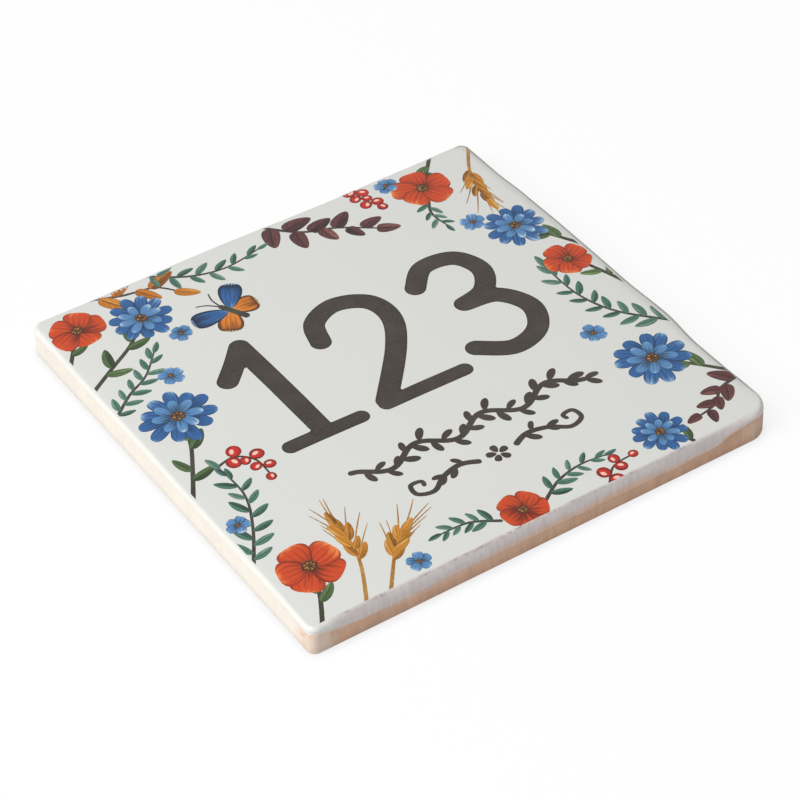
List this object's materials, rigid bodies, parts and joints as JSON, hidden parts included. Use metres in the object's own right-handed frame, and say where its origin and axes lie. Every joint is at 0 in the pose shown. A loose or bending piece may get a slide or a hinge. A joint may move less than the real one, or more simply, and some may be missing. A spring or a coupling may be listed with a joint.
{
  "type": "house number plaque",
  "caption": "Square glazed ceramic house number plaque with a pillowed face, a glaze coat that runs unevenly down its straight biscuit sides, and a flat keyed back for wall adhesive.",
  "frame": {"origin": "middle of the flat back face", "axes": "+X to the right across the printed face, +Y up the printed face, +Z out of the printed face; the plaque lies on its back"},
  "size_m": [0.1003, 0.1005, 0.0068],
  "materials": {
    "glazed_tile": "satin gloss warm white glaze over a peach biscuit"
  },
  "bodies": {
    "root": {"tile": "glazed_tile"}
  },
  "joints": []
}
